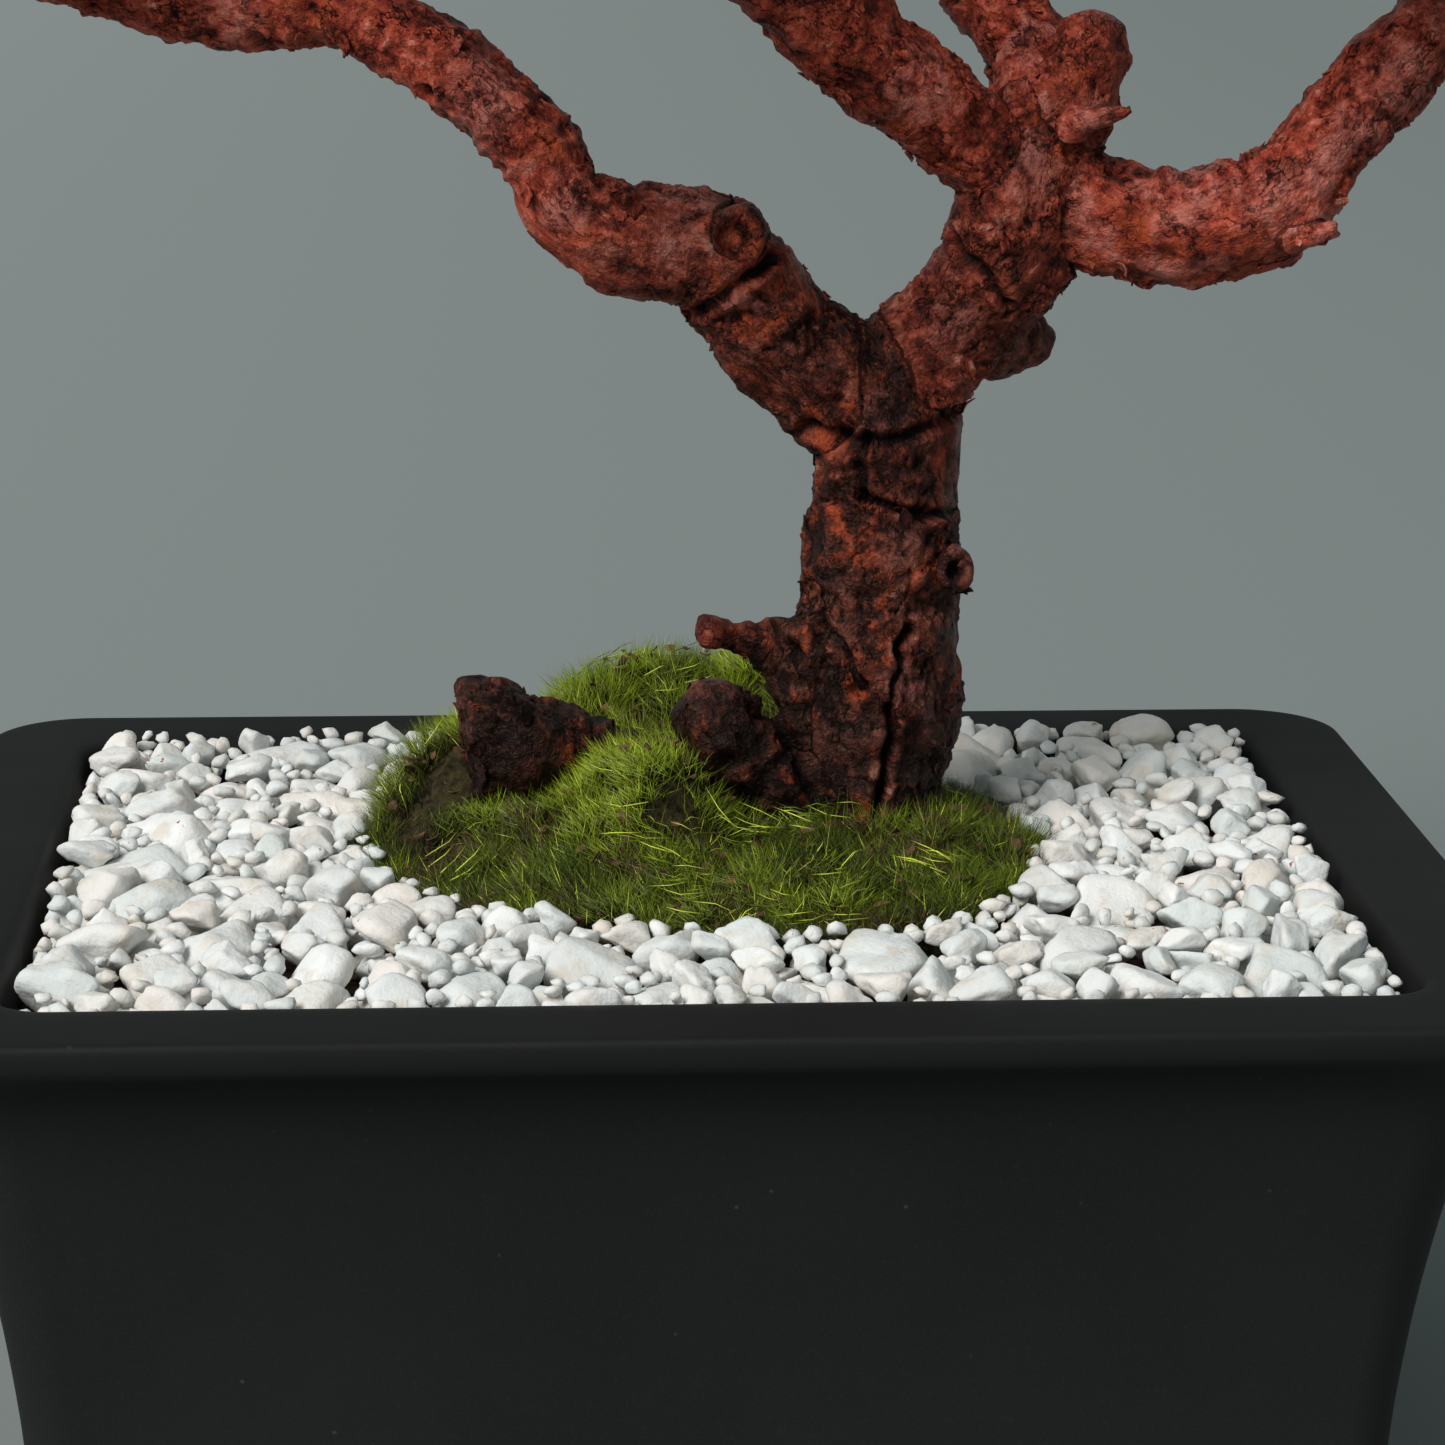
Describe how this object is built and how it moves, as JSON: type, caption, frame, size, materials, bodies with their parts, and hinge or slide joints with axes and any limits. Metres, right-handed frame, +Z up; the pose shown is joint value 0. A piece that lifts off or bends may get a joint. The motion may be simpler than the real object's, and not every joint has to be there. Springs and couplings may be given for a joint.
{
  "type": "japanese black pine bonsai",
  "caption": "Small informal-upright pine bonsai with forked, spreading limbs and domed needle pads, set in moss and pale gravel in a deep rectangular lipped pot.",
  "frame": {"origin": "middle of the pot's flat base, on the surface that it stands on", "axes": "+Z up; X along the pot's long side, with the low limb towards -X; -Y is the front"},
  "size_m": [0.3051, 0.164, 0.3104],
  "materials": {
    "black_ceramic": "matt, unglazed",
    "black_plastic": "matt",
    "soil": "crumbly, dry",
    "white_gravel": "chalky, dry",
    "moss": "soft, fibrous",
    "pine_bark": "rough, flaking",
    "pine_needles": "satin, waxy"
  },
  "bodies": {
    "root": {"pot": "black_ceramic", "drain_screen_left": "black_plastic", "drain_screen_right": "black_plastic", "soil": "soil", "gravel_bed": "white_gravel", "moss_cushion": "moss", "tree_wood": "pine_bark", "spray_left_end": "pine_needles", "spray_left_inner": "pine_needles", "spray_front_left": "pine_needles", "spray_back": "pine_needles", "spray_front_right": "pine_needles", "spray_right_end": "pine_needles", "spray_right_inner": "pine_needles", "spray_upper_left": "pine_needles", "spray_upper_right": "pine_needles", "spray_apex": "pine_needles"}
  },
  "joints": []
}
